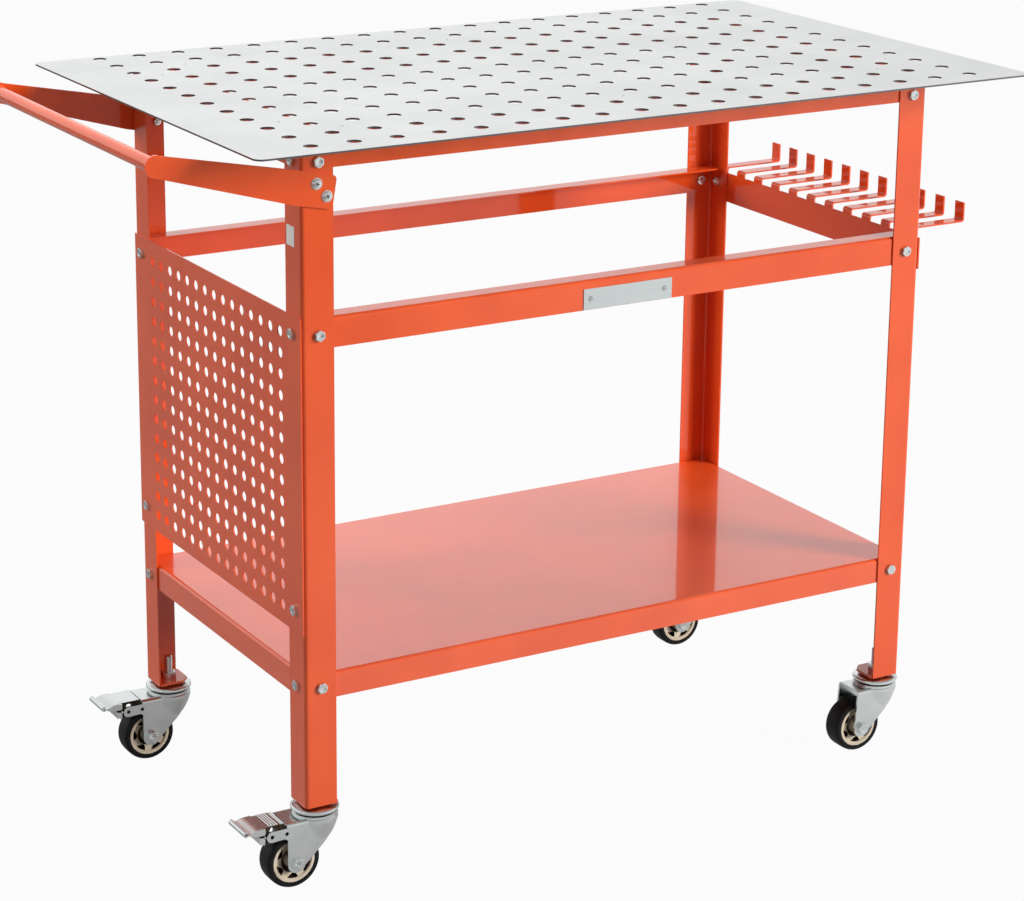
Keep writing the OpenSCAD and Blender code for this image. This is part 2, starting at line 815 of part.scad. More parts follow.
// Foot pedal: a ribbed tread with a curled tip, and two cheeks bent down from it. The tread is
// narrow where it drops between the fork's sides and as wide as the fork beyond them.
module pedal() {
    z = fork_z;
    difference() {
        union() {
            translate([0, tread_w / 2, 0]) rotate([90, 0, 0]) linear_extrude(tread_w)
                polygon([[-45.6, z - 2], [-50, z - 0.5], [-72, z - 0.5], [-72, z + 1.5],
                    [-50, z + 1.5], [-45.6, z]]);
            translate([0, fork_w / 2, 0]) rotate([90, 0, 0]) linear_extrude(fork_w) {
                polygon([[-70, z - 0.5], [-83, z - 0.5], [-87, z - 2], [-93, z - 2],
                    [-96.6, z + 1.4], [-94, z + 3.4], [-92, z], [-87, z],
                    [-83, z + 1.5], [-70, z + 1.5]]);
                translate([-95, z + 2.8]) circle(2.8);
            }
            for (i = [0 : 3])
                translate([-52.5 - 4.4 * i, -14, z + 0.4]) cube([1.7, 28, 2.1]);
            for (s = [-1, 1]) translate([0, s > 0 ? tread_w / 2 : 2 - tread_w / 2, 0])
                rotate([90, 0, 0]) linear_extrude(2) cheek_profile();
        }
        across(pedal_pin, pin_r + run_clear, 2 * fork_w);
    }
}

// Toothed jaw between the pedal's cheeks, which the pedal presses on the tyre.
module brake_shoe() {
    w = tread_w - 4.6;
    z = fork_z;
    translate([0, w / 2, 0]) rotate([90, 0, 0]) linear_extrude(w)
        polygon([[-70.5, z - 5], [-76.5, z - 6], [-77, z - 15], [-75, z - 18], [-73.6, z - 16.2],
            [-71.6, z - 19.2], [-70, z - 17.4], [-67.8, z - 20.2], [-66.4, z - 18.4],
            [-63.6, z - 20.8], [-64.6, z - 16.4], [-68.2, z - 13]]);
}

module fork_front_left() {
    color(zinc) place() at_corner(-1, -1) fork(true);
}

module axle_front_left() {
    color(zinc) place() at_corner(-1, -1) axle(true);
}

module hub_front_left() {
    color(beige) place() at_corner(-1, -1) hub();
}

module tyre_front_left() {
    color(black) place() at_corner(-1, -1) tyre();
}

module fork_back_left() {
    color(zinc) place() at_corner(-1, 1) fork(true);
}

module axle_back_left() {
    color(zinc) place() at_corner(-1, 1) axle(true);
}

module hub_back_left() {
    color(beige) place() at_corner(-1, 1) hub();
}

module tyre_back_left() {
    color(black) place() at_corner(-1, 1) tyre();
}

module fork_front_right() {
    color(zinc) place() at_corner(1, -1) fork(false);
}

module axle_front_right() {
    color(zinc) place() at_corner(1, -1) axle(false);
}

module hub_front_right() {
    color(beige) place() at_corner(1, -1) hub();
}

module tyre_front_right() {
    color(black) place() at_corner(1, -1) tyre();
}

module fork_back_right() {
    color(zinc) place() at_corner(1, 1) fork(false);
}

module axle_back_right() {
    color(zinc) place() at_corner(1, 1) axle(false);
}

module hub_back_right() {
    color(beige) place() at_corner(1, 1) hub();
}

module tyre_back_right() {
    color(black) place() at_corner(1, 1) tyre();
}

module brake_pins_front_left() {
    color(zinc) place() at_corner(-1, -1) brake_pins();
}

module pedal_front_left() {
    color(zinc) place() at_corner(-1, -1) pedal();
}

module brake_shoe_front_left() {
    color(zinc) place() at_corner(-1, -1) brake_shoe();
}

module brake_pins_back_left() {
    color(zinc) place() at_corner(-1, 1) brake_pins();
}

module pedal_back_left() {
    color(zinc) place() at_corner(-1, 1) pedal();
}

module brake_shoe_back_left() {
    color(zinc) place() at_corner(-1, 1) brake_shoe();
}

top_plate();
plate_screws();
plate_nuts();
leg_front_left();
leg_front_right();
leg_back_left();
leg_back_right();
foot_plates();
top_rail_front();
top_rail_back();
top_rail_left();
top_rail_right();
mid_rail_front();
mid_rail_back();
shelf_tray();
pegboard();
hook_rack();
handle_arm_front();
handle_arm_back();
handle_tube();
handle_screws();
handle_nuts();
name_plate();
name_plate_rivets();
leg_label();
top_rail_bolts();
top_rail_nuts();
mid_rail_bolts();
mid_rail_nuts();
shelf_bolts();
shelf_nuts();
side_bolts();
side_nuts();
caster_stems();
race_caps();
stem_nuts();
fork_front_left();
axle_front_left();
hub_front_left();
tyre_front_left();
fork_back_left();
axle_back_left();
hub_back_left();
tyre_back_left();
fork_front_right();
axle_front_right();
hub_front_right();
tyre_front_right();
fork_back_right();
axle_back_right();
hub_back_right();
tyre_back_right();
brake_pins_front_left();
pedal_front_left();
brake_shoe_front_left();
brake_pins_back_left();
pedal_back_left();
brake_shoe_back_left();
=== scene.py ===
# %% [markdown]
# # Mobile welding table
# The table is a sheet-steel top full of fixture holes on a bolted frame of angle steel, with a shelf,
# a pegboard, a push handle, a hook rack and four swivel casters. The CAD model is the fixed frame:
# its sheet pieces stay and get their finishes here, and the small turned and pressed pieces are modelled anew.

# %% Load the frame
import json
import math

import bmesh
import bpy
from mathutils import Matrix, Vector


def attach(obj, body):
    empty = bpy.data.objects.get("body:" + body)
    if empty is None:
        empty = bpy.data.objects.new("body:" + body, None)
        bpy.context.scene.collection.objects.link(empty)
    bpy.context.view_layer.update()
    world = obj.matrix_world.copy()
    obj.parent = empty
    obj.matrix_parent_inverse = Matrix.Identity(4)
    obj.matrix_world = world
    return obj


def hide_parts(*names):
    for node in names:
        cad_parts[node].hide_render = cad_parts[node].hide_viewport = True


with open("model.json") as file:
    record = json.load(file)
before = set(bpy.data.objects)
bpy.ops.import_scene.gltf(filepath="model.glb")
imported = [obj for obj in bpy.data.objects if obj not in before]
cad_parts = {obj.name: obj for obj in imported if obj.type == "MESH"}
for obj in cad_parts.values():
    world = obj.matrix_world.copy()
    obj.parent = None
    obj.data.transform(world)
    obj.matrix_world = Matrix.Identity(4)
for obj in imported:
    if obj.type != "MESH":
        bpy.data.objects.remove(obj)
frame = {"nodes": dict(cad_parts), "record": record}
bpy.ops.object.select_all(action="DESELECT")
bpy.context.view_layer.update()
mm = 0.001

# %% [markdown]
# ## Places
# The legs stand round a centre that isn't the middle of the whole, because the handle sticks out on one
# side. Everything is given about that centre in millimetres, as a maker would read it off a drawing, and
# `at` turns it into metres in the shared frame. The names are those of the frame: half its length and
# width, the places of its bolts, the thickness of its sheet and the height of its top.

# %% Places about the frame's centre
middle = Vector((46, 11, 0))
leg_x, leg_y = 409, 219
bolt_x, bolt_y = leg_x - 20, leg_y - 20
sheet, top_z, foot_z = 2, 856, 95
corners = {"front_left": (-1, -1), "back_left": (-1, 1), "front_right": (1, -1), "back_right": (1, 1)}


def at(x, y, z):
    return (Vector((x, y, z)) + middle) * mm


print("leg corner", [round(v, 3) for v in at(-leg_x, -leg_y, foot_z)])

# %% [markdown]
# ## Camera
# A long lens from the front left, a little above the top. The direction comes from fitting the top's
# holes and the legs' edges, and a small shift stands for the part of the lens picture that was used.

# %% Camera
camera_data = bpy.data.cameras.new("camera")
camera = bpy.data.objects.new("camera", camera_data)
bpy.context.scene.collection.objects.link(camera)
turn = Matrix(((0.868853, 0.129077, -0.477948), (-0.495027, 0.23939, -0.835249), (0.006605, 0.962305, 0.271891)))
camera.matrix_world = Matrix.Translation((-1.68182, -2.86954, 1.47934)) @ turn.to_4x4()
camera_data.lens, camera_data.sensor_width = 102.7071, 36
camera_data.shift_x, camera_data.shift_y = 0.04102, -0.11279
bpy.context.scene.camera = camera
print("camera at", [round(v, 3) for v in camera.location])

# %% [markdown]
# ## Light and floor
# Glossy powder coat and bright zinc show what is round them. The photograph's studio has one big window
# at the right and one behind at the left, and little at the front left, where the faces of the legs are
# duller. So the white that shines back has three levels, set by direction: less from the front left, more
# from the back left, and less from high up, which keeps the bends from burning out. Only the camera sees
# the pure white background. `along` makes such a change of level, and `by_ray` says which ray meets what.

# %% World
world = bpy.data.worlds.new("studio")
bpy.context.scene.world = world
world.use_nodes = True
bpy.context.scene.view_settings.view_transform = "Standard"
unlit_side, back_left = (-0.76, -0.65, 0), (-0.64, 0.77, 0)


def node(tree, kind, **values):
    """A new node, with its settings and its inputs' values given by name."""
    made = tree.nodes.new("ShaderNode" + kind)
    for key, value in values.items():
        if key[0].isupper():
            made.inputs[key.replace("_", " ")].default_value = value
        else:
            setattr(made, key, value)
    return made


def join(tree, source, target):
    tree.links.new(source, target)


def along(tree, coordinates, direction, near, far, near_value, far_value):
    """near_value on this side of near, far_value beyond far, measured along a direction."""
    measure = node(tree, "VectorMath", operation="DOT_PRODUCT")
    measure.inputs[1].default_value = direction
    fall = node(tree, "MapRange", interpolation_type="SMOOTHSTEP", From_Min=near, From_Max=far, To_Min=near_value,
                To_Max=far_value)
    join(tree, coordinates, measure.inputs[0])
    join(tree, measure.outputs["Value"], fall.inputs["Value"])
    return fall.outputs["Result"]


def product(tree, a, b):
    both = node(tree, "Math", operation="MULTIPLY")
    join(tree, a, both.inputs[0])
    join(tree, b, both.inputs[1])
    return both.outputs[0]


def by_ray(tree, others, glossy, seen, output, share=1.0):
    """Glossy rays meet one shader, the camera meets the share of another, and all other rays a third."""
    path, either = node(tree, "LightPath"), node(tree, "Math", operation="MAXIMUM")
    glossy_mix, seen_mix = node(tree, "MixShader"), node(tree, "MixShader")
    join(tree, path.outputs["Is Camera Ray"], either.inputs[0])
    join(tree, path.outputs["Is Transmission Ray"], either.inputs[1])
    part = either
    if share < 1:
        part = node(tree, "Math", operation="MULTIPLY")
        part.inputs[1].default_value = share
        join(tree, either.outputs[0], part.inputs[0])
    join(tree, path.outputs["Is Glossy Ray"], glossy_mix.inputs["Fac"])
    join(tree, others.outputs[0], glossy_mix.inputs[1])
    join(tree, glossy.outputs[0], glossy_mix.inputs[2])
    join(tree, part.outputs[0], seen_mix.inputs["Fac"])
    join(tree, glossy_mix.outputs[0], seen_mix.inputs[1])
    join(tree, seen.outputs[0], seen_mix.inputs[2])
    join(tree, seen_mix.outputs[0], output.inputs["Surface"])


tree = world.node_tree
tree.nodes.clear()
output, where = node(tree, "OutputWorld"), node(tree, "TexCoord")
white = (1, 1, 1, 1)
lighting = node(tree, "Background", Color=(1, 0.995, 0.985, 1), Strength=0.18)
shining, seen = node(tree, "Background", Color=white), node(tree, "Background", Color=white, Strength=1.0)
round_about = where.outputs["Generated"]
sideways = product(tree, along(tree, round_about, unlit_side, 0.3, 0.85, 1.0, 0.85),
                   along(tree, round_about, back_left, -0.1, 0.4, 0.85, 1.13))
upwards = along(tree, round_about, (0, 0, 1), 0.35, 0.8, 1.0, 0.45)
join(tree, product(tree, sideways, upwards), shining.inputs["Strength"])
by_ray(tree, lighting, shining, seen, output)
print("world", world.name, "with", len(tree.nodes), "nodes")

# %% [markdown]
# ### Lamps
# Three soft boxes stand for the windows and the ceiling. Each is a large area lamp aimed at the table,
# and far enough away that its light falls evenly. None shows in a reflection, because such a small bright
# sheet would burn a white patch into the plated top. The world's white does the shining instead.


# %% Window lamps
def window_light(name, place, aim, size, power):
    lamp = bpy.data.lights.new(name, "AREA")
    lamp.shape, lamp.size, lamp.size_y, lamp.energy = "RECTANGLE", size[0], size[1], power
    holder = bpy.data.objects.new(name, lamp)
    bpy.context.scene.collection.objects.link(holder)
    holder.location = place
    holder.rotation_euler = (Vector(aim) - Vector(place)).to_track_quat("-Z", "Y").to_euler()
    holder.visible_glossy = False


window_light("right_window", (6.2, -7.7, 3.6), (0, 0, 0.45), (3.8, 4.8), 1180)
window_light("back_left_window", (-7.2, 5.3, 3.9), (0, 0, 0.5), (4.0, 5.0), 460)
window_light("ceiling_window", (0, 0.4, 3.6), (0, 0, 0.5), (2.4, 2.4), 74)

# %% [markdown]
# ### Floor
# The table stands on white paper. Its colour is a mid grey, so that it keeps the table's shadow without
# throwing much light back up, and the camera sees it nearly white. What glossy faces see of it is bright
# from some sides and dark at the front left, as in the photograph.

# %% Paper floor
bpy.ops.mesh.primitive_plane_add(size=60, location=(0, 0, -0.0004))
floor = bpy.context.active_object
floor.name = "floor"
floor_finish = bpy.data.materials.new("pale_floor")
floor_finish.use_nodes = True
floor.data.materials.append(floor_finish)
tree = floor_finish.node_tree
tree.nodes.clear()
output, where = node(tree, "OutputMaterial"), node(tree, "TexCoord")
paper = node(tree, "BsdfDiffuse", Color=(0.30, 0.30, 0.30, 1))
shining, seen = node(tree, "Emission"), node(tree, "Emission", Strength=1.0)
over_floor = where.outputs["Object"]
join(tree, product(tree, along(tree, over_floor, unlit_side, 0.45, 1.2, 1.0, 0.0),
                   along(tree, over_floor, back_left, -1.2, 1.0, 0.62, 0.04)), shining.inputs["Strength"])
both = node(tree, "AddShader")
join(tree, paper.outputs[0], both.inputs[0])
join(tree, shining.outputs[0], both.inputs[1])
by_ray(tree, paper, both, seen, output, share=0.96)
print("floor", floor.name, "at", round(floor.location.z, 5), "m")

# %% [markdown]
# ## Finishes
# Each finish starts from the Principled shader. `finish` makes it with its constant values, and the small
# helpers after it add what varies over the surface: a colour that drifts, a roughness that is patchy, and
# a fine bump. Patterns read Object coordinates, because every piece has its place in its own mesh.


# %% Helpers for finishes
def finish(name, colour, roughness, **values):
    made = bpy.data.materials.new(name)
    made.use_nodes = True
    made.diffuse_color = (*colour, 1)
    shader = made.node_tree.nodes["Principled BSDF"]
    shader.inputs["Base Color"].default_value = (*colour, 1)
    shader.inputs["Roughness"].default_value = roughness
    for key, value in values.items():
        shader.inputs[key.replace("_", " ")].default_value = value
    return made, made.node_tree, shader


def pattern(tree, scale, detail=3.0, stretch=(1, 1, 1)):
    """Soft noise over the piece, squeezed along the axes whose stretch is large."""
    where, mapping = node(tree, "TexCoord"), node(tree, "Mapping", Scale=stretch)
    noise = node(tree, "TexNoise", Scale=scale, Detail=detail)
    join(tree, where.outputs["Object"], mapping.inputs["Vector"])
    join(tree, mapping.outputs["Vector"], noise.inputs["Vector"])
    return noise.outputs[0]


def drift_colour(tree, shader, value, low, high):
    ramp = node(tree, "ValToRGB")
    for stop, place, colour in zip(ramp.color_ramp.elements, (0.35, 0.65), (low, high)):
        stop.position, stop.color = place, (*colour, 1)
    join(tree, value, ramp.inputs["Fac"])
    join(tree, ramp.outputs["Color"], shader.inputs["Base Color"])
    return ramp


def drift_roughness(tree, shader, value, low, high):
    spread = node(tree, "MapRange", To_Min=low, To_Max=high)
    join(tree, value, spread.inputs["Value"])
    join(tree, spread.outputs["Result"], shader.inputs["Roughness"])


def fine_bump(tree, shader, value, strength, depth):
    bump = node(tree, "Bump", Strength=strength, Distance=depth)
    join(tree, value, bump.inputs["Height"])
    join(tree, bump.outputs["Normal"], shader.inputs["Normal"])


print("a finish can drift in", [f.__name__ for f in (drift_colour, drift_roughness, fine_bump)])

# %% [markdown]
# ### Powder coat
# Powder coat is a melted plastic skin: deep orange with a clear gloss over it and the faint waviness
# called orange peel. A coat layer over a slightly rougher base gives the two-part sheen of the real thing,
# and the peel is a soft bump a few millimetres wide. The shelf lies flat and its coat has levelled out
# more, so its copy of the finish shines more at a low angle.

# %% Orange powder coat
orange_coat, tree, shader = finish(
    "orange_powder_coat", (0.80, 0.082, 0.012), 0.42, Coat_Weight=1.0, Coat_Roughness=0.05, Coat_IOR=1.55,
    Specular_IOR_Level=0.12)
patches = pattern(tree, 9, 2)
drift_colour(tree, shader, patches, (0.77, 0.083, 0.012), (0.85, 0.101, 0.016))
drift_roughness(tree, shader, patches, 0.38, 0.46)
fine_bump(tree, shader, pattern(tree, 330, 1.5), 0.10, 0.0004)
shelf_coat = orange_coat.copy()
shelf_coat.name = "orange_shelf_coat"
shelf_coat.node_tree.nodes["Principled BSDF"].inputs["Specular IOR Level"].default_value = 0.6
print("coats", orange_coat.name, shelf_coat.name)

# %% [markdown]
# ### Zinc-plated top
# The top is thin plated sheet with a satin skin that was rolled lengthwise. Fine streaks along the length,
# broad cloudy patches and a mid roughness make it pale and soft and keep it from being a mirror. The
# punched edges are bare, darker steel, so the walls of the holes, where the normal lies flat, get that tone.

# %% Zinc-plated sheet
plate_steel, tree, shader = finish("zinc_plated_sheet", (0.70, 0.72, 0.72), 0.34, Metallic=1.0)
streaks = pattern(tree, 40, 4, (1, 14, 14))
clouds = pattern(tree, 7, 3)
skin = drift_colour(tree, shader, clouds, (0.765, 0.78, 0.78), (0.835, 0.85, 0.845))
drift_roughness(tree, shader, streaks, 0.26, 0.44)
fine_bump(tree, shader, streaks, 0.06, 0.0003)
where, upward, flat = node(tree, "TexCoord"), node(tree, "SeparateXYZ"), node(tree, "Math", operation="ABSOLUTE")
cut = node(tree, "MapRange", From_Min=0.3, From_Max=0.7)
tone = node(tree, "Mix", data_type="RGBA")
join(tree, where.outputs["Normal"], upward.inputs[0])
join(tree, upward.outputs["Z"], flat.inputs[0])
join(tree, flat.outputs[0], cut.inputs["Value"])
join(tree, cut.outputs["Result"], tone.inputs[0])
cut_edge, surface, mixed = tone.inputs[6], tone.inputs[7], tone.outputs[2]
cut_edge.default_value = (0.20, 0.19, 0.19, 1)
join(tree, skin.outputs["Color"], surface)
join(tree, mixed, shader.inputs["Base Color"])
print("top", plate_steel.name)

# %% [markdown]
# ### Bright zinc
# Bolts, forks and caps are barrel plated. The skin is brighter and tighter than on the sheet, with small
# stains in its tone.

# %% Bright zinc
bright_zinc, tree, shader = finish("bright_zinc", (0.74, 0.76, 0.77), 0.24, Metallic=1.0)
stains = pattern(tree, 45, 2)
drift_colour(tree, shader, stains, (0.67, 0.715, 0.71), (0.73, 0.77, 0.765))
drift_roughness(tree, shader, stains, 0.22, 0.30)
fine_bump(tree, shader, pattern(tree, 600, 2), 0.05, 0.0002)
print("hardware", bright_zinc.name)

# %% [markdown]
# ### Plate, label, hub and tyre
# The name plate is bare brushed aluminium and the label a bare matt film. The hub is beige moulded
# plastic, and the tyre is black rubber with patches of dust. Faces deep in pockets and grooves get painted
# shade: a near-black finish that stands in for the shadow there.

# %% Small finishes
brushed_plate, tree, shader = finish("brushed_aluminium", (0.82, 0.82, 0.82), 0.3, Metallic=1.0)
lines = pattern(tree, 60, 3, (1, 60, 60))
drift_colour(tree, shader, lines, (0.65, 0.70, 0.695), (0.74, 0.785, 0.78))
drift_roughness(tree, shader, lines, 0.24, 0.40)
label_film, tree, shader = finish("label_film", (0.86, 0.86, 0.84), 0.55)
drift_colour(tree, shader, pattern(tree, 60, 2), (0.83, 0.83, 0.81), (0.89, 0.89, 0.87))
# deep_shade is painted shade: a near-black colour put where shadow falls in pockets, grooves and recesses.
deep_shade, tree, shader = finish("deep_shade", (0.03, 0.022, 0.015), 0.6, Specular_IOR_Level=0.1)
drift_colour(tree, shader, pattern(tree, 90, 3), (0.018, 0.012, 0.009), (0.045, 0.033, 0.022))
hub_plastic, tree, shader = finish("hub_plastic", (0.66, 0.56, 0.43), 0.38)
drift_colour(tree, shader, pattern(tree, 70, 3), (0.62, 0.52, 0.39), (0.70, 0.60, 0.47))
fine_bump(tree, shader, pattern(tree, 900, 2), 0.08, 0.0002)
tyre_rubber, tree, shader = finish("tyre_rubber", (0.012, 0.011, 0.012), 0.5, Specular_IOR_Level=0.16)
dust = pattern(tree, 55, 4)
drift_colour(tree, shader, dust, (0.006, 0.0055, 0.006), (0.012, 0.011, 0.012))
drift_roughness(tree, shader, dust, 0.42, 0.6)
fine_bump(tree, shader, pattern(tree, 700, 3), 0.12, 0.0002)
print("finishes", [m.name for m in bpy.data.materials])

# %% [markdown]
# ## CAD pieces that stay
# The bent sheet pieces are right as they are, so they only get their finish. The record's material slot
# says which piece has which.

# %% Finishes on the CAD pieces
slot_finish = {"plate_steel": plate_steel, "orange_powder_coat": orange_coat, "zinc": bright_zinc,
               "bare_aluminium": brushed_plate, "white_label": label_film, "hub_plastic": hub_plastic,
               "tyre_rubber": tyre_rubber}
node_slot = {row["node"]: row["material_slot"] for row in frame["record"]["subparts"]}
for name, cad_piece in frame["nodes"].items():
    cad_piece.data.materials.clear()
    cad_piece.data.materials.append(slot_finish[node_slot[name]])
frame["nodes"]["shelf_tray"].data.materials[0] = shelf_coat
print(len(node_slot), "CAD pieces have a finish")

# %% [markdown]
# ## Ways to shape
# Most small pieces are turned, pressed or bent, so three ways are enough. A turned piece is an outline
# that spin carries round an axis. A bent or pressed piece is an outline filled and extruded. A cut is a
# second shape taken away by a boolean that is applied. Each piece is made once about its own axis, in
# millimetres, and copies of it are put in their places, each with its own mesh.


# %% Outline, spin and extrude
def start(name):
    """One vertex at the origin, in edit mode."""
    bpy.ops.object.select_all(action="DESELECT")
    bpy.ops.mesh.primitive_plane_add(size=1)
    piece = bpy.context.active_object
    piece.name = name
    bpy.ops.object.mode_set(mode="EDIT")
    bpy.ops.mesh.select_all(action="SELECT")
    bpy.ops.mesh.merge(type="CENTER")
    return piece


def outline(points, closed=True):
    """Edges through the points, drawn by extruding one vertex after another."""
    bpy.ops.transform.translate(value=Vector(points[0]))
    for a, b in zip(points, points[1:]):
        bpy.ops.mesh.extrude_region_move(TRANSFORM_OT_translate={"value": Vector(b) - Vector(a)})
    if closed:
        bpy.ops.mesh.select_all(action="SELECT")
        mesh = bmesh.from_edit_mesh(bpy.context.edit_object.data)
        for vertex in mesh.verts:
            vertex.select = len(vertex.link_edges) < 2
        bmesh.update_edit_mesh(bpy.context.edit_object.data)
        bpy.ops.mesh.edge_face_add()
        bpy.ops.mesh.select_all(action="SELECT")
        bpy.ops.mesh.delete(type="ONLY_FACE")
    bpy.ops.mesh.select_all(action="SELECT")


def done(piece, angle=40):
    """Leaves edit mode and shades smooth except at edges sharper than the angle."""
    if piece.mode == "EDIT":
        bpy.ops.object.mode_set(mode="OBJECT")
    bpy.ops.object.select_all(action="DESELECT")
    piece.select_set(True)
    bpy.context.view_layer.objects.active = piece
    bpy.ops.object.shade_smooth_by_angle(angle=math.radians(angle))
    return piece


def turned(name, profile, steps=48, closed=False, angle=40):
    """A piece turned about Z from (radius, height) points in millimetres."""
    piece = start(name)
    outline([(r, 0, z) for r, z in profile], closed)
    bpy.ops.mesh.spin(steps=steps, angle=math.tau, center=(0, 0, 0), axis=(0, 0, 1))
    bpy.ops.mesh.select_all(action="SELECT")
    bpy.ops.mesh.remove_doubles(threshold=0.001)
    bpy.ops.mesh.normals_make_consistent(inside=False)
    return done(piece, angle)


def pressed(name, points, depth, angle=40):
    """A flat outline in X and Y filled and extruded up Z by its depth."""
    piece = start(name)
    outline([(x, y, 0) for x, y in points])
    bpy.ops.mesh.edge_face_add()
    bpy.ops.mesh.extrude_region_move(TRANSFORM_OT_translate={"value": (0, 0, depth)})
    bpy.ops.mesh.select_all(action="SELECT")
    bpy.ops.mesh.normals_make_consistent(inside=False)
    return done(piece, angle)


print("ways to shape:", turned.__name__, pressed.__name__)

# %% [markdown]
# ### Cut, bevel, join and place
# A cutter always stands out of the piece or ends inside it. Where two flat faces lie in one plane, a
# boolean can't tell which is outside, and the result isn't sure. A finished piece is told which body it
# moves with and which CAD piece it stands for.


# %% Cut, bevel, join and place
def modify(piece, kind, **values):
    modifier = piece.modifiers.new(kind.lower(), kind)
    for key, value in values.items():
        setattr(modifier, key, value)
    bpy.context.view_layer.objects.active = piece
    bpy.ops.object.modifier_apply(modifier=modifier.name)
    return piece


def combine(piece, tool, operation):
    modify(piece, "BOOLEAN", object=tool, operation=operation, solver="EXACT")
    bpy.data.objects.remove(tool)
    return done(piece)


def joined(name, parts):
    bpy.ops.object.select_all(action="DESELECT")
    for part in parts:
        part.select_set(True)
    bpy.context.view_layer.objects.active = parts[0]
    bpy.ops.object.join()
    parts[0].name = name
    return parts[0]


def copy_to(model, place, turn=None):
    """A copy with its own mesh, turned and moved there, both kept in the mesh. Places are in millimetres."""
    piece = bpy.data.objects.new(model.name + "_copy", model.data.copy())
    bpy.context.scene.collection.objects.link(piece)
    piece.data.transform(Matrix.Scale(mm, 4) @ Matrix.Translation(Vector(place) + middle) @ (turn or Matrix()))
    return piece


def facing(direction, roll=0.0):
    """Turns a piece so that its Z points that way, rolled about it by degrees."""
    aimed = Vector(direction).to_track_quat("Z", "Y").to_matrix().to_4x4()
    return aimed @ Matrix.Rotation(math.radians(roll), 4, "Z")


def stands_for(piece, material, body, *nodes):
    """Gives a finished piece its finish and body, and hides the CAD pieces that it stands for."""
    piece.data.materials.clear()
    piece.data.materials.append(slot_finish[material])
    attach(piece, body)
    if nodes:
        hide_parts(*nodes)
    print(piece.name, len(piece.data.polygons), "faces")
    return piece


def shade_faces(piece, faces):
    """Gives the listed faces painted shade: the near-black deep_shade finish stands in for the shadow deep in a
    pocket.
    """
    piece.data.materials.append(deep_shade)
    for k in faces:
        piece.data.polygons[k].material_index = 1


print("places are in millimetres, one is", mm, "m")

# %% [markdown]
# ## Frame bolts and nuts
# The frame is held by hex bolts. A forged head is a hexagon whose corners are turned off by a cone, with a
# shallow dish in its face, so the head is a six-sided prism cut by a turned shape. The prism is cut
# longer than the head, and the turned shape gives it its faces. The nut is the same with both faces
# turned, and the bolt's end stands out of it.

# %% Hex bolt and nut
head_flats, head_high, nut_high = 11.1, 4, 5


def hexagon(flats, low, high):
    r = flats / 2 / math.cos(math.pi / 6)
    points = [(r * math.cos(k * math.pi / 3), r * math.sin(k * math.pi / 3)) for k in range(6)]
    prism = pressed("hexagon", points, high - low)
    prism.data.transform(Matrix.Translation((0, 0, low)))
    return prism


def hex_blank(name, flats, low, high, bore=0.0, dish=0.0, both=False, spare=1.0):
    """A hexagon about Z from low to high, turned off at low (and at high), with a dish or a bore.

    The hexagon is longer than the head by spare at each turned end, so that no two faces lie in one plane.
    """
    blank = hexagon(flats, low - spare, high + spare if both else high)
    f, r = flats / 2 * 0.95, flats / 2 * 1.25
    s = (r - f) * 0.55
    top = [(f, high), (0, high)] if both else [(r, high + 1), (0, high + 1)]
    side = [(r, high - s)] if both else []
    centre = [(0, low + dish), (f * 0.62, low + dish), (f * 0.70, low)] if dish else [(0, low)]
    turning = turned("turning", [*centre, (f, low), (r, low + s), *side, *top], 48)
    combine(blank, turning, "INTERSECT")
    if bore:
        drill = turned("drill", [(0, low - 1), (bore, low - 1), (bore, high + 1), (0, high + 1)], 24)
        combine(blank, drill, "DIFFERENCE")
    blank.name = name
    return blank


def threaded(name, r, low, high, pitch):
    """A rod about Z with thread grooves between its chamfered end at high and low."""
    points, z = [(0, low), (r * 0.9, low)], low
    while z + pitch < high - 0.6:
        points += [(r, z + pitch * 0.45), (r, z + pitch * 0.6), (r * 0.89, z + pitch)]
        z += pitch
    return turned(name, [*points, (r, high - 0.9), (r * 0.8, high), (0, high)], 20, angle=25)


bolt_model = joined("bolt", [hex_blank("head", head_flats, -head_high, 0, dish=0.35),
                             threaded("shank", 3.1, -0.5, 11, 1.25)])
long_nut = hex_blank("nut", head_flats, 0, nut_high, bore=3.05, both=True)
print("bolt", len(bolt_model.data.polygons), "nut", len(long_nut.data.polygons))

# %% [markdown]
# ### Bolts in their places
# Each rail and the shelf is bolted through all four legs, and the pegboard and the rack through two. A
# bolt comes from outside with its nut inside the leg, and no two are turned alike, as no fitter lines
# them up.


# %% Bolts in their places
def front_back(z):
    return [((sx * bolt_x, sy * leg_y, z), (0, -sy, 0)) for sx in (-1, 1) for sy in (-1, 1)]


def side(z, sx, out=0.0):
    return [((sx * (leg_x + out), sy * bolt_y, z), (-sx, 0, 0)) for sy in (-1, 1)]


rows = {"top_rail": front_back(825) + side(825, -1) + side(825, 1), "mid_rail": front_back(637),
        "shelf": front_back(236) + side(236, -1) + side(236, 1),
        "side": side(637, -1, 1.5) + side(324, -1, 1.5) + side(637, 1, sheet)}
for row, places in rows.items():
    for kind, model in (("bolts", bolt_model), ("nuts", long_nut)):
        copies = []
        for k, (place, inward) in enumerate(places):
            grip = 3.5 if row == "side" and place[0] < 0 else 4.0
            shift = Vector(inward) * (grip if kind == "nuts" else 0)
            copies.append(copy_to(model, Vector(place) + shift, facing(inward, 37 * k + len(row) * 11)))
        piece = joined(f"{row}_hex_{kind}", copies)
        stands_for(piece, "zinc", "frame", f"{row}_{kind}")
for model in (bolt_model, long_nut):
    bpy.data.objects.remove(model)
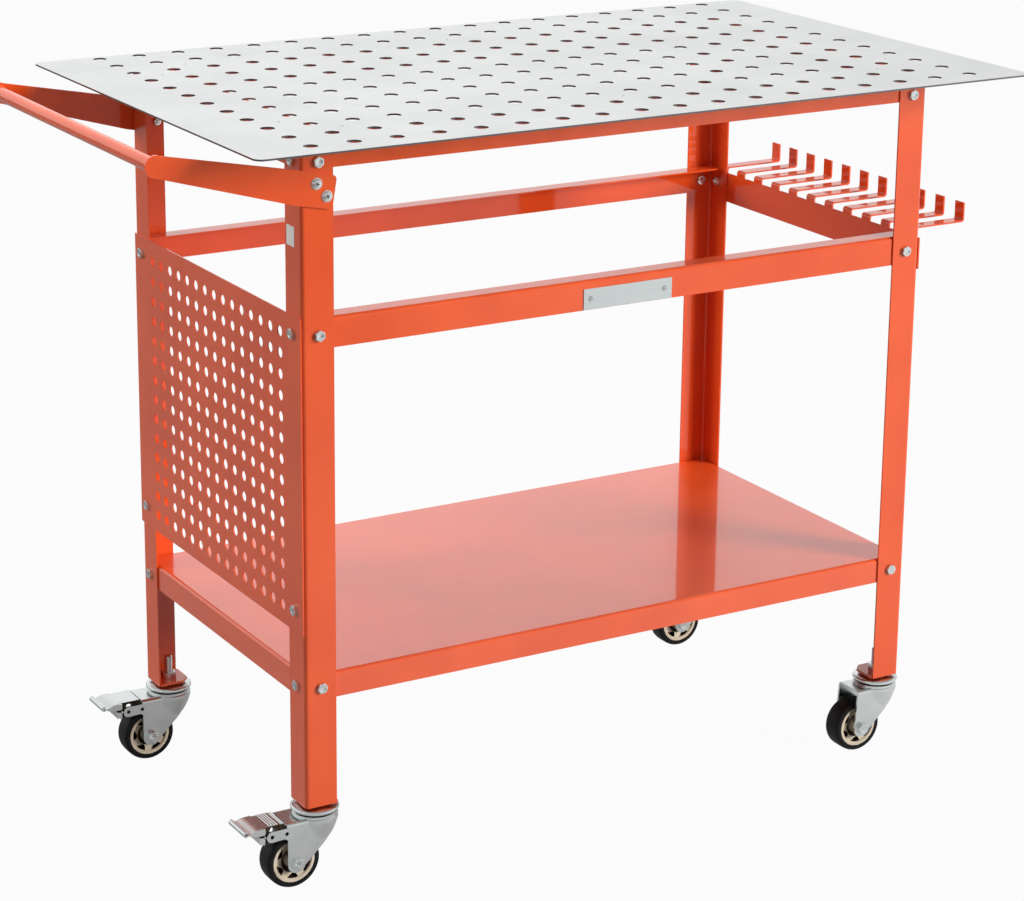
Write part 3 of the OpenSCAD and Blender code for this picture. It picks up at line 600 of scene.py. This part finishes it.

# %% [markdown]
# ## Screws of the handle
# The handle's arms are held by pan head screws with a washer flange and a cross recess. The head is
# turned with a low dome, and the recess is cut by a cross that narrows inwards. The faces deep in the
# recess get painted shade. Behind the leg each has a plain nut.

# %% Cross recess screws
screw_profile = [(0, -3.0), (3.2, -2.95), (4.6, -2.6), (5.3, -1.8), (5.5, -0.9), (6.4, -0.75), (6.5, -0.45),
                 (6.4, 0), (2.4, 0), (2.4, 9.6), (2.0, 10.3), (0, 10.3)]
screw_head = turned("screw", screw_profile, 40, angle=50)
arm, half = 2.9, 0.55
quarter = [(arm, -half), (arm, half), (half, half)]
cross = pressed("cross", [Matrix.Rotation(math.pi / 2 * k, 2) @ Vector(point) for k in range(4) for point in quarter],
                2.4)
cross.data.transform(Matrix.Translation((0, 0, -4.1)))
for vertex in cross.data.vertices:
    if vertex.co.z > -2:
        vertex.co.xy *= 0.5
combine(screw_head, cross, "DIFFERENCE")
# The faces deep in the cross recess get painted shade, the dark deep_shade finish.
recess = [f.index for f in screw_head.data.polygons if -2.85 < f.center.z < -1 and math.hypot(*f.center[:2]) < 3]
arm_screws = [((-leg_x + x, sy * (leg_y + 3), top_z + z), (0, -sy, 0))
              for sy in (-1, 1) for x, z in ((17, -53.5), (29, -68))]
screws = [copy_to(screw_head, place, facing(inward, 20 + 41 * k)) for k, (place, inward) in enumerate(arm_screws)]
count = len(screw_head.data.polygons)
shade_faces(stands_for(joined("handle_cross_screws", screws), "zinc", "frame", "handle_screws"),
            [n * count + k for n in range(len(screws)) for k in recess])
print(len(recess), "faces in a cross recess")
small_nut = hex_blank("small_nut", 8, 0, 4, bore=2.45, both=True)
nuts = [copy_to(small_nut, Vector(p) + Vector(d) * 5, facing(d, 15 * k)) for k, (p, d) in enumerate(arm_screws)]
stands_for(joined("handle_hex_nuts", nuts), "zinc", "frame", "handle_nuts")
for model in (screw_head, small_nut):
    bpy.data.objects.remove(model)

# %% [markdown]
# ### Rivets
# The name plate is held by two blind rivets. A rivet is a low dome with the broken stem in a small pit,
# and its far end is upset behind the rail. One turned outline gives all of it.

# %% Rivets of the name plate
rivet_profile = [(0, -0.7), (0.9, -0.7), (1.05, -1.75), (1.5, -1.75), (2.6, -1.2), (3.2, -0.35), (3.2, 0), (1.6, 0),
                 (1.6, 4.2), (2.3, 4.2), (2.5, 3.6), (2.3, 3.0), (2.2, 3.0), (2.0, 4.9), (0, 4.9)]
rivet = turned("rivet", rivet_profile, 28, angle=55)
rivets = [copy_to(rivet, (sx * 49, -leg_y + 1, 633.5), facing((0, 1, 0))) for sx in (-1, 1)]
stands_for(joined("name_plate_blind_rivets", rivets), "zinc", "frame", "name_plate_rivets")
bpy.data.objects.remove(rivet)

# %% [markdown]
# ## Caster tops
# Above each fork sits a pressed race cap with a rolled edge, then the hex shoulder of the stem, the foot
# plate and a nut with the stem's thread standing out of it. Cap and stem are turned, and the hex parts
# are cut as the bolts are. The faces in the groove under the cap's rim get painted shade.

# %% Race caps, stems and nuts
cap_profile = [(6.1, 85.3), (21.5, 85.3), (21.8, 86.5), (26.2, 86.6), (27.1, 87.0), (27.5, 87.9), (27.5, 89.0),
               (27.1, 90.2), (26.0, 91.1), (24.4, 91.6), (21.5, 91.9), (19.5, 92.7), (17.5, 93.0), (6.1, 93.0)]
groove_top = 0.0866
cap = turned("cap", cap_profile, 64, closed=True, angle=50)
king = turned("king", [(0, 75.9), (9.2, 75.9), (10, 76.6), (10, 79.2), (6, 79.2), (6, 93.5), (0, 93.5)], 40)
shoulder = hex_blank("shoulder", 17, 93, 95, both=True, spare=0)
stem = threaded("stem", 5, 94.5, 126, 1.5)
stem_nut = hex_blank("stem_nut", 16, 98, 106, bore=4.95, both=True)
upper = joined("stem_model", [king, shoulder, stem])
for model, name, old in ((cap, "race_cap_rings", "race_caps"), (upper, "swivel_stems", "caster_stems"),
                         (stem_nut, "stem_hex_nuts", "stem_nuts")):
    copies = [copy_to(model, (sx * bolt_x, sy * bolt_y, 0), Matrix.Rotation(math.radians(23 * k), 4, "Z"))
              for k, (sx, sy) in enumerate(corners.values())]
    piece = stands_for(joined(name, copies), "zinc", "frame", old)
    # Painted shade: the faces in the groove under the cap's rim get the dark deep_shade finish.
    if old == "race_caps":
        shade_faces(piece, [f.index for f in piece.data.polygons if f.center.z < groove_top and f.normal.z < 0.9])
    bpy.data.objects.remove(model)

# %% [markdown]
# ## Wheels
# A wheel is a black rubber tyre moulded on a beige plastic hub. The tyre is turned: a slightly crowned
# tread, a fine mould line at each shoulder and a step down to the rim. Only one half of the outline is
# written down, and the other half is its mirror.

# %% Tyre
wheel_r, hub_r, half_w, trail = 32.5, 26, 13, 32
shoulder_r = wheel_r - 3.2
tread = [(hub_r - 0.4, -half_w + 1.2), (hub_r + 0.1, -half_w + 0.2), (hub_r + 1.2, -half_w),
         (shoulder_r - 0.4, -half_w), (shoulder_r + 0.5, -half_w + 0.25), (shoulder_r + 1.4, -half_w + 1.0),
         (shoulder_r + 1.75, -half_w + 1.15), (shoulder_r + 2.3, -half_w + 1.9), (wheel_r - 0.35, -half_w + 3.3),
         (wheel_r - 0.1, -half_w + 5.5), (wheel_r, 0)]
tyre_model = turned("tyre", tread + [(r, -z) for r, z in tread[-2::-1]], 72, closed=True, angle=24)
print("tyre", len(tyre_model.data.polygons), "faces")

# %% [markdown]
# ### Hub
# The hub is moulded with a thick rim, six swept spokes with pockets between them and a boss in a
# deep ring. It is turned first, and then the pockets are cut on both sides by one pressed wedge that is
# copied round. Its outline is given by radius and angle. The faces in the pockets get painted shade, the
# near-black deep_shade finish, where shadow falls between the spokes.

# %% Hub
half_hub = [(6.1, -15), (8.6, -15), (9.2, -14.4), (9.6, -3.0), (13.4, -2.6), (13.9, -8.2), (14.6, -8.8), (20.6, -10.0),
            (21.6, -11.6), (22.2, -12.4), (25.2, -12.4), (25.9, -11.7), (26, -11)]
hub_model = turned("hub", half_hub + [(r, -z) for r, z in half_hub[::-1]], 72, closed=True, angle=30)
sweep = [(15.3, 4), (14.9, 11), (15.6, 18), (17.6, 26), (20.9, 36), (21.2, 28), (21.2, 18), (21.2, 8), (21.2, -2),
         (18.4, -1), (16.4, 1)]
wedge = [(r * math.cos(math.radians(t)), r * math.sin(math.radians(t))) for r, t in sweep]
pocket = pressed("pocket", wedge, 10)
cuts = []
for k in range(6):
    for up in (0, 1):
        cut = bpy.data.objects.new("cut", pocket.data.copy())
        bpy.context.scene.collection.objects.link(cut)
        flip = Matrix.Rotation(math.pi * up, 4, "X")
        cut.data.transform(Matrix.Rotation(math.tau * k / 6, 4, "Z") @ flip @ Matrix.Translation((0, 0, -12.6)))
        cuts.append(cut)
combine(hub_model, joined("pockets", cuts), "DIFFERENCE")
bpy.data.objects.remove(pocket)
done(hub_model, 30)
# The faces down in the pockets are picked for painted shade.
pockets = [f.index for f in hub_model.data.polygons
           if abs(f.center.z) < 8.6 and 9.4 < math.hypot(*f.center[:2]) < 21.15]
print("hub", len(hub_model.data.polygons), "faces,", len(pockets), "of them dark")

# %% [markdown]
# ### Axle
# The axle is a hex bolt through both sides of the fork, with a sleeve that the wheel turns on and a lock
# nut with a round collar. The thread's end stands out of the collar.

# %% Axle with its bolt head and lock nut
rod_profile = [(0, -20), (4, -20), (4, -17.4), (5.95, -17.4), (5.95, 17.4), (4, 17.4), (4, 29), (3.5, 30), (0, 30)]
rod = turned("rod", rod_profile, 32)
axle_head = hex_blank("axle_head", 13, -25.3, -20, dish=0.4)
lock_nut = hex_blank("lock_nut", 13, 20, 26.2, bore=3.95, both=True)
collar = turned("collar", [(3.95, 25.8), (5.9, 25.8), (5.8, 27.2), (5.2, 27.9), (3.95, 27.9)], 32, closed=True)
axle_model = joined("axle", [rod, axle_head, lock_nut, collar])
print("axle", len(axle_model.data.polygons), "faces")

# %% [markdown]
# ### Wheels on their forks
# All four casters trail towards the handle. Tyre and hub ride on the wheel's body and turn, while the
# axle rides on the fork. No two wheels stopped at the same angle.

# %% Wheels and axles on their forks
for k, (corner, (sx, sy)) in enumerate(corners.items()):
    hub_place = (sx * bolt_x - trail, sy * bolt_y, wheel_r)
    across = facing((0, 1, 0), 17 + 31 * k)
    tyre = stands_for(copy_to(tyre_model, hub_place, across), "tyre_rubber", f"wheel_{corner}", f"tyre_{corner}")
    tyre.name = f"tyre_tread_{corner}"
    hub = stands_for(copy_to(hub_model, hub_place, across), "hub_plastic", f"wheel_{corner}", f"hub_{corner}")
    hub.name = f"spoked_hub_{corner}"
    # Painted shade on the faces in the hub's pockets.
    shade_faces(hub, pockets)
    end = facing((0, -1 if sx < 0 else 1, 0), 8 * k)
    axle = stands_for(copy_to(axle_model, hub_place, end), "zinc", f"fork_{corner}", f"axle_{corner}")
    axle.name = f"axle_bolt_{corner}"
for model in (tyre_model, hub_model, axle_model):
    bpy.data.objects.remove(model)

# %% [markdown]
# ## Foot brakes
# Each left caster has a pedal pressed from sheet: a tread that starts in two ridges at its pin, flares out
# beyond the fork, dips and ends in a rolled lip. The front one has four more ribs. The tread is one
# outline in the X-Z plane carried across the width, so lip and ridges are part of it.

# %% Outlines across the fork
fork_top, pin_x, stop_x, pin_z = 82, -44, -62, 71
pin_drop = pin_z - fork_top
front_ribs = (-54, -57, -60, -63)


def crosswise(name, points, width, y=0.0):
    """An outline in X and Z carried across in Y, centred on y. Heights count from the fork's top."""
    piece = pressed(name, points, width)
    piece.data.transform(Matrix.Translation((0, y + width / 2, fork_top)) @ Matrix.Rotation(math.pi / 2, 4, "X"))
    return piece


def arc(x, z, r, first, last, steps):
    turns = [math.radians(first + (last - first) * k / steps) for k in range(steps + 1)]
    return [(x + r * math.cos(t), z + r * math.sin(t)) for t in turns]


def tread_outline(ribs):
    top = [(-45.6, -0.6), (-46.0, 0.8), (-46.8, 2.0), (-47.7, 1.0), (-48.5, 0.9), (-49.3, 2.1), (-50.3, 1.2)]
    for x in ribs:
        top += [(x + 1.1, 1.2), (x + 0.4, 1.9), (x - 0.4, 1.9), (x - 1.1, 1.2)]
    top += [(-70, 1.2), (-78, 1.1), (-82, 0.5), (-85, -0.5), (-88, -1.5), (-90.4, -1.8)]
    roll = arc(-93.6, -1.4, 1.5, -20, -325, 14) + arc(-93.6, -1.4, 3.1, -325, -40, 18)
    low = [(-90.6, -3.5), (-88.4, -3.2), (-85, -2.1), (-81.5, -1.0), (-78, -0.5), (-70, -0.4), (-50.6, -0.4),
           (-46.6, -1.8), (-45.6, -2.3)]
    return top + roll + low


print("tread outline has", len(tread_outline(front_ribs)), "points")

# %% [markdown]
# ### Pedals and jaws
# The tread is narrow where it dips between the fork's sides and wide beyond them. Its side faces are split
# where the flare starts and ends, so each stays flat. An inner cheek on each side turns on one pin and is
# slotted for the other, which stops it, and an outer flange is bent down beyond the fork. A toothed jaw
# hangs between them over the tyre. The pins are hollow at their ends, where they were riveted. The faces of
# pedal and jaw between the fork's sides, and the pins' hollow ends, get painted shade.


# %% Pedals, jaws and pins
def pedal(ribs):
    tread = crosswise("tread", tread_outline(ribs), 40)
    flare_end, flare_start = -84, -70
    bpy.ops.object.select_all(action="DESELECT")
    bpy.context.view_layer.objects.active = tread
    bpy.ops.object.mode_set(mode="EDIT")
    for x in (flare_end, flare_start):
        bpy.ops.mesh.select_all(action="SELECT")
        bpy.ops.mesh.bisect(plane_co=(x, 0, 0), plane_no=(1, 0, 0))
    bpy.ops.object.mode_set(mode="OBJECT")
    for vertex in tread.data.vertices:
        vertex.co.y *= 1 - 0.143 * min(1, max(0, (vertex.co.x - flare_end) / (flare_start - flare_end)))
    parts = [tread]
    cheek_y, flange_y = 16.25, 18.7
    slot = arc(pin_x, pin_drop, 21.2, 145, 193, 8) + arc(pin_x, pin_drop, 14.8, 193, 145, 8)
    cheek = [(-46, -1.2), (-50, -0.2), (-70.8, -0.2), (-70.8, -7.5), (-67, -13), (-62, -17.2), (-50, -16.8),
             *arc(pin_x, pin_drop, 5.5, 265, 435, 12)]
    flange = [(-70.2, 0.9), (-79, 0.8), (-84, -0.6), (-88, -2.0), (-90.6, -2.9), (-89.4, -4.4), (-85, -5.6),
              (-80, -6.3), (-75, -6.7), (-71.2, -6.6), (-69.9, -4.8)]
    for s in (-1, 1):
        inner = crosswise("inner", cheek, 1.8, s * cheek_y)
        for cut in (arc(pin_x, pin_drop, 2.65, 0, 345, 23), slot):
            combine(inner, crosswise("cut", cut, 4, s * cheek_y), "DIFFERENCE")
        parts += [inner, crosswise("outer", flange, 2.3, s * flange_y)]
    for part in parts:
        modify(part, "BEVEL", width=0.25, segments=2, limit_method="ANGLE", angle_limit=math.radians(50))
        done(part, 35)
    return joined("pedal_model", parts)


def shaded_behind(piece, edge):
    """Paints shade on the side faces further in than the edge, counted from the piece's middle: the
    near-black deep_shade finish stands in for the shadow between the fork's sides.
    """
    centre = sum((f.center.y for f in piece.data.polygons)) / len(piece.data.polygons)
    shade_faces(piece, [f.index for f in piece.data.polygons if abs(f.normal.y) > 0.9 and
                        1 < abs(f.center.y - centre) / mm < edge])


def jaw():
    middle_part = [(-70.5, -5), (-75.6, -6), (-76.2, -13.6), (-75.4, -17.2), (-73.8, -14.8), (-71.8, -18.4),
                   (-70.0, -16.2), (-67.8, -20.3), (-66.3, -17.8), (-63.6, -20.8), (-64.6, -16.4), (-68.2, -13)]
    wide_part = [(-71.4, -9.8), (-76.4, -9.4), (-77.4, -14.6), (-75.4, -18.4), (-73.8, -15.6), (-71.8, -19.6),
                 (-70.3, -17.0), (-69.9, -12.6)]
    parts = [crosswise("jaw_middle", middle_part, 30.6), crosswise("jaw_wide", wide_part, 38.6)]
    return joined("jaw_model", [modify(part, "BEVEL", width=0.35, segments=2) for part in parts])


pin_end = [(0, 15.5), (1.75, 15.5), (1.9, 19.6), (2.1, 20.05), (2.4, 20.1), (2.5, 19.8)]
pin_model = turned("pin", [(r, -z) for r, z in pin_end] + pin_end[::-1], 28)
# The faces inside the hollow ends are picked for painted shade.
hollow = [f.index for f in pin_model.data.polygons if math.hypot(*f.center[:2]) < 1.9]
inside_edge = 17.9
for corner, ribs in (("front_left", front_ribs), ("back_left", ())):
    sx, sy = corners[corner]
    place = (sx * bolt_x, sy * bolt_y, 0)
    for made, name, body, old in (
            (pedal(ribs), "foot_pedal", "pedal", "pedal"),
            (jaw(), "toothed_jaw", "pedal", "brake_shoe")):
        piece = stands_for(copy_to(made, place), "zinc", f"{body}_{corner}", f"{old}_{corner}")
        piece.name = f"{name}_{corner}"
        # Painted shade on the faces between the fork's sides.
        shaded_behind(piece, inside_edge)
        bpy.data.objects.remove(made)
    pins = [copy_to(pin_model, Vector(place) + Vector((x, 0, pin_z)), facing((0, 1, 0), x))
            for x in (pin_x, stop_x)]
    pair = stands_for(joined(f"hollow_pins_{corner}", pins), "zinc", f"fork_{corner}", f"brake_pins_{corner}")
    # Painted shade in the pins' hollow ends.
    shade_faces(pair, hollow + [k + len(pin_model.data.polygons) for k in hollow])
bpy.data.objects.remove(pin_model)

# %% [markdown]
# ## Weld beads
# The handle's tube is welded into its arms and the foot plates into the legs, and the coat runs over the
# beads. A bead is a turned rod or ring with ripples, half sunk in the corner it fills.

# %% Beads
ring_profile = [(7.6, 0.3), (7.6, -2.4), (8.7, -2.2), (9.5, -1.4), (9.9, -0.3), (9.9, 0.3)]
ring = turned("ring", ring_profile, 36, closed=True, angle=60)
for vertex in ring.data.vertices:
    turn_of = math.degrees(math.atan2(vertex.co.y, vertex.co.x)) % 20
    if math.hypot(*vertex.co[:2]) > 8:
        vertex.co.xy *= 1.0 if turn_of < 5 or turn_of > 15 else 0.975
bead_profile = [(0, 0)] + [(1.25 + 0.3 * (k % 2), 0.5 + k * 1.05) for k in range(25)] + [(0, 26.5)]
bead = turned("bead", bead_profile, 10, angle=70)
beads = [copy_to(ring, (-573, sy * 219, 839), facing((0, sy, 0))) for sy in (-1, 1)]
for sx, sy in corners.values():
    for place, way in (((sx * (leg_x - 7), sy * (leg_y - sheet), 98), (-sx, 0, 0)),
                       ((sx * (leg_x - sheet), sy * (leg_y - 7), 98), (0, -sy, 0))):
        beads.append(copy_to(bead, place, facing(way)))
stands_for(joined("weld_beads", beads), "orange_powder_coat", "frame")
for model in (ring, bead):
    bpy.data.objects.remove(model)
